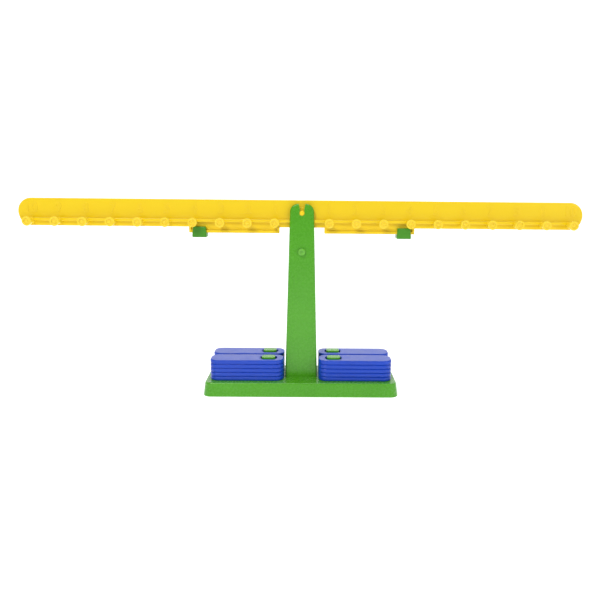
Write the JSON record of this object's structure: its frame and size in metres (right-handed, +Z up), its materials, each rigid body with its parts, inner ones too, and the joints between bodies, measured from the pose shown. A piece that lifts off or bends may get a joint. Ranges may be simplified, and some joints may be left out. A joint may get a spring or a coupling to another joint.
{
  "type": "number balance",
  "caption": "Toy number balance: a pegged beam that swings on a slotted upright, with a tray base holding stacks of slotted weight plates and sliders that zero the beam.",
  "frame": {"origin": "middle of the base's foot, on the table", "axes": "+X along the level beam, +Y from front to back, +Z up"},
  "size_m": [0.65, 0.075, 0.2245],
  "materials": {
    "yellow_plastic": "moulded, semi-gloss",
    "green_plastic": "moulded, semi-gloss",
    "slider_plastic": "moulded, semi-gloss",
    "blue_plastic": "moulded, semi-gloss",
    "zinc_steel": "zinc plated"
  },
  "bodies": {
    "stand": {"base": "green_plastic", "front_upright": "green_plastic", "rear_upright": "green_plastic", "tie_pin": "green_plastic", "base_screws": "zinc_steel"},
    "beam": {"beam": "yellow_plastic", "front_pegs": "yellow_plastic", "rear_pegs": "yellow_plastic"},
    "left_slider": {"left_slider": "slider_plastic"},
    "right_slider": {"right_slider": "slider_plastic"},
    "front_left_weight_1": {"front_left_weight_1": "blue_plastic"},
    "front_left_weight_2": {"front_left_weight_2": "blue_plastic"},
    "front_left_weight_3": {"front_left_weight_3": "blue_plastic"},
    "front_left_weight_4": {"front_left_weight_4": "blue_plastic"},
    "front_left_weight_5": {"front_left_weight_5": "blue_plastic"},
    "front_right_weight_1": {"front_right_weight_1": "blue_plastic"},
    "front_right_weight_2": {"front_right_weight_2": "blue_plastic"},
    "front_right_weight_3": {"front_right_weight_3": "blue_plastic"},
    "front_right_weight_4": {"front_right_weight_4": "blue_plastic"},
    "front_right_weight_5": {"front_right_weight_5": "blue_plastic"},
    "back_left_weight_1": {"back_left_weight_1": "blue_plastic"},
    "back_left_weight_2": {"back_left_weight_2": "blue_plastic"},
    "back_left_weight_3": {"back_left_weight_3": "blue_plastic"},
    "back_left_weight_4": {"back_left_weight_4": "blue_plastic"},
    "back_left_weight_5": {"back_left_weight_5": "blue_plastic"},
    "back_right_weight_1": {"back_right_weight_1": "blue_plastic"},
    "back_right_weight_2": {"back_right_weight_2": "blue_plastic"},
    "back_right_weight_3": {"back_right_weight_3": "blue_plastic"},
    "back_right_weight_4": {"back_right_weight_4": "blue_plastic"},
    "back_right_weight_5": {"back_right_weight_5": "blue_plastic"}
  },
  "joints": [
    {"name": "beam_swing", "type": "hinge", "parent": "stand", "child": "beam", "pos_m": [0, 0, 0.21], "axis": [0, 1, 0], "range_deg": [-15, 15]},
    {"name": "left_slider_slide", "type": "slide", "parent": "beam", "child": "left_slider", "axis": [-1, 0, 0], "range_m": [-0.0805, 0.001]},
    {"name": "right_slider_slide", "type": "slide", "parent": "beam", "child": "right_slider", "axis": [1, 0, 0], "range_m": [-0.0805, 0.001]},
    {"name": "front_left_weight_1_lift", "type": "slide", "parent": "stand", "child": "front_left_weight_1", "axis": [0, 0, 1], "range_m": [0, 0.0278]},
    {"name": "front_left_weight_2_lift", "type": "slide", "parent": "front_left_weight_1", "child": "front_left_weight_2", "axis": [0, 0, 1], "range_m": [0, 0.0228]},
    {"name": "front_left_weight_3_lift", "type": "slide", "parent": "front_left_weight_2", "child": "front_left_weight_3", "axis": [0, 0, 1], "range_m": [0, 0.0178]},
    {"name": "front_left_weight_4_lift", "type": "slide", "parent": "front_left_weight_3", "child": "front_left_weight_4", "axis": [0, 0, 1], "range_m": [0, 0.0128]},
    {"name": "front_left_weight_5_lift", "type": "slide", "parent": "front_left_weight_4", "child": "front_left_weight_5", "axis": [0, 0, 1], "range_m": [0, 0.0078]},
    {"name": "front_right_weight_1_lift", "type": "slide", "parent": "stand", "child": "front_right_weight_1", "axis": [0, 0, 1], "range_m": [0, 0.0278]},
    {"name": "front_right_weight_2_lift", "type": "slide", "parent": "front_right_weight_1", "child": "front_right_weight_2", "axis": [0, 0, 1], "range_m": [0, 0.0228]},
    {"name": "front_right_weight_3_lift", "type": "slide", "parent": "front_right_weight_2", "child": "front_right_weight_3", "axis": [0, 0, 1], "range_m": [0, 0.0178]},
    {"name": "front_right_weight_4_lift", "type": "slide", "parent": "front_right_weight_3", "child": "front_right_weight_4", "axis": [0, 0, 1], "range_m": [0, 0.0128]},
    {"name": "front_right_weight_5_lift", "type": "slide", "parent": "front_right_weight_4", "child": "front_right_weight_5", "axis": [0, 0, 1], "range_m": [0, 0.0078]},
    {"name": "back_left_weight_1_lift", "type": "slide", "parent": "stand", "child": "back_left_weight_1", "axis": [0, 0, 1], "range_m": [0, 0.0278]},
    {"name": "back_left_weight_2_lift", "type": "slide", "parent": "back_left_weight_1", "child": "back_left_weight_2", "axis": [0, 0, 1], "range_m": [0, 0.0228]},
    {"name": "back_left_weight_3_lift", "type": "slide", "parent": "back_left_weight_2", "child": "back_left_weight_3", "axis": [0, 0, 1], "range_m": [0, 0.0178]},
    {"name": "back_left_weight_4_lift", "type": "slide", "parent": "back_left_weight_3", "child": "back_left_weight_4", "axis": [0, 0, 1], "range_m": [0, 0.0128]},
    {"name": "back_left_weight_5_lift", "type": "slide", "parent": "back_left_weight_4", "child": "back_left_weight_5", "axis": [0, 0, 1], "range_m": [0, 0.0078]},
    {"name": "back_right_weight_1_lift", "type": "slide", "parent": "stand", "child": "back_right_weight_1", "axis": [0, 0, 1], "range_m": [0, 0.0278]},
    {"name": "back_right_weight_2_lift", "type": "slide", "parent": "back_right_weight_1", "child": "back_right_weight_2", "axis": [0, 0, 1], "range_m": [0, 0.0228]},
    {"name": "back_right_weight_3_lift", "type": "slide", "parent": "back_right_weight_2", "child": "back_right_weight_3", "axis": [0, 0, 1], "range_m": [0, 0.0178]},
    {"name": "back_right_weight_4_lift", "type": "slide", "parent": "back_right_weight_3", "child": "back_right_weight_4", "axis": [0, 0, 1], "range_m": [0, 0.0128]},
    {"name": "back_right_weight_5_lift", "type": "slide", "parent": "back_right_weight_4", "child": "back_right_weight_5", "axis": [0, 0, 1], "range_m": [0, 0.0078]}
  ]
}
